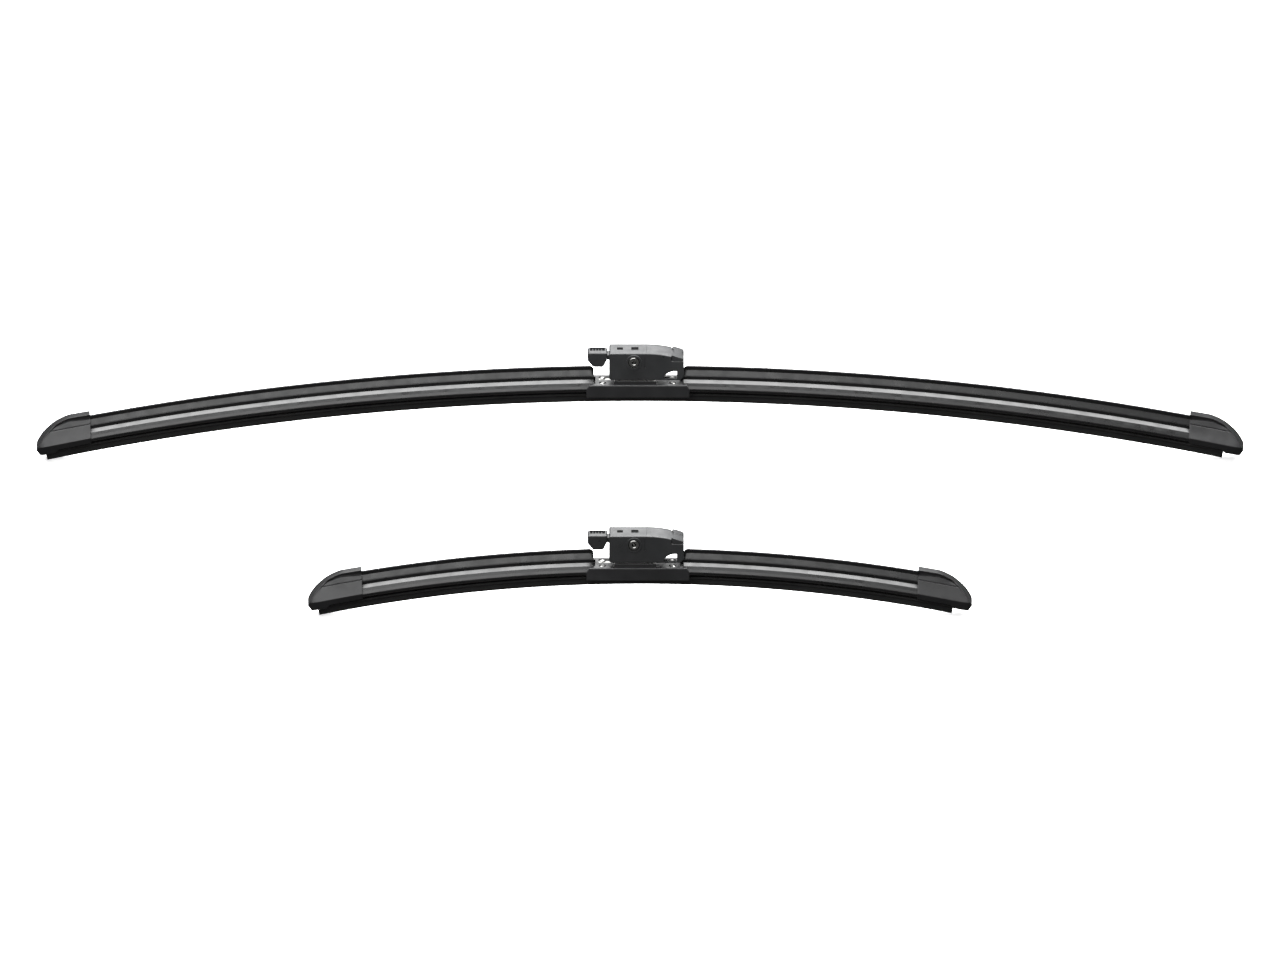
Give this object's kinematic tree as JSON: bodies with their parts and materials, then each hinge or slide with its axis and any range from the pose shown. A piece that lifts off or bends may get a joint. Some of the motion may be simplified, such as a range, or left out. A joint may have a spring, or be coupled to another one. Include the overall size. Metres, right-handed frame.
{
  "type": "windshield wiper assembly",
  "caption": "Set of a long and a short frameless windshield wiper blade, black, with spoiler, end caps and a push-button arm adapter at the middle of each.",
  "frame": {"origin": "middle of the long blade's top arm seat, a flat face on its adapter", "axes": "+X along the blades toward the curved lock covers, +Z out of the arm seat, away from the glass, +Y from the short blade toward the long one"},
  "size_m": [0.6583, 0.265, 0.0644],
  "materials": {
    "spring_steel": "dark spring steel strip",
    "wiper_rubber": "matt black rubber with a fine coating",
    "spoiler_elastomer": "satin black, extruded along the blade",
    "moulded_plastic": "black, finely grained",
    "adapter_plastic": "dark grey, finely grained",
    "plated_steel": "bright zinc plated"
  },
  "bodies": {
    "long_adapter": {"long_adapter_housing": "adapter_plastic", "long_cover_pin": "plated_steel", "long_button_pin": "plated_steel"},
    "long_blade": {"long_rail_front": "spring_steel", "long_rail_rear": "spring_steel", "long_wiper_rubber": "wiper_rubber", "long_spoiler_left": "spoiler_elastomer", "long_spoiler_right": "spoiler_elastomer", "long_end_cap_left": "moulded_plastic", "long_end_cap_right": "moulded_plastic", "long_base_cover": "moulded_plastic", "long_holder": "plated_steel", "long_rivet_front_left": "plated_steel", "long_rivet_front_right": "plated_steel", "long_rivet_rear_left": "plated_steel", "long_rivet_rear_right": "plated_steel", "long_pivot_rivet": "plated_steel", "long_pivot_bush": "moulded_plastic"},
    "long_cover": {"long_lock_cover": "adapter_plastic"},
    "long_button": {"long_lock_button": "adapter_plastic"},
    "short_adapter": {"short_adapter_housing": "adapter_plastic", "short_cover_pin": "plated_steel", "short_button_pin": "plated_steel"},
    "short_blade": {"short_rail_front": "spring_steel", "short_rail_rear": "spring_steel", "short_wiper_rubber": "wiper_rubber", "short_spoiler_left": "spoiler_elastomer", "short_spoiler_right": "spoiler_elastomer", "short_end_cap_left": "moulded_plastic", "short_end_cap_right": "moulded_plastic", "short_base_cover": "moulded_plastic", "short_holder": "plated_steel", "short_rivet_front_left": "plated_steel", "short_rivet_front_right": "plated_steel", "short_rivet_rear_left": "plated_steel", "short_rivet_rear_right": "plated_steel", "short_pivot_rivet": "plated_steel", "short_pivot_bush": "moulded_plastic"},
    "short_cover": {"short_lock_cover": "adapter_plastic"},
    "short_button": {"short_lock_button": "adapter_plastic"}
  },
  "joints": [
    {"name": "long_blade_pivot", "type": "hinge", "parent": "long_adapter", "child": "long_blade", "pos_m": [0.00355, 0, -0.0051], "axis": [0, 1, 0], "range_deg": [-4, 4]},
    {"name": "long_lock_button_press", "type": "hinge", "parent": "long_adapter", "child": "long_button", "pos_m": [-0.00705, 0, -0.0037], "axis": [0, -1, 0], "range_deg": [0, 5], "stiffness_Nm_per_rad": 1.2, "springref_deg": -2.86},
    {"name": "long_lock_cover_open", "type": "hinge", "parent": "long_adapter", "child": "long_cover", "pos_m": [0.01235, 0, -0.0019], "axis": [0, -1, 0], "range_deg": [0, 80]},
    {"name": "short_blade_pivot", "type": "hinge", "parent": "short_adapter", "child": "short_blade", "pos_m": [0.00355, -0.2474, -0.02111], "axis": [0, 1, 0], "range_deg": [-4, 4]},
    {"name": "short_lock_button_press", "type": "hinge", "parent": "short_adapter", "child": "short_button", "pos_m": [-0.00705, -0.2474, -0.01971], "axis": [0, -1, 0], "range_deg": [0, 5], "stiffness_Nm_per_rad": 1.2, "springref_deg": -2.86},
    {"name": "short_lock_cover_open", "type": "hinge", "parent": "short_adapter", "child": "short_cover", "pos_m": [0.01235, -0.2474, -0.01791], "axis": [0, -1, 0], "range_deg": [0, 80]},
    {"name": "short_blade_lift", "type": "slide", "parent": "long_adapter", "child": "short_adapter", "axis": [0, 0, 1], "range_m": [0, 0.12]}
  ]
}
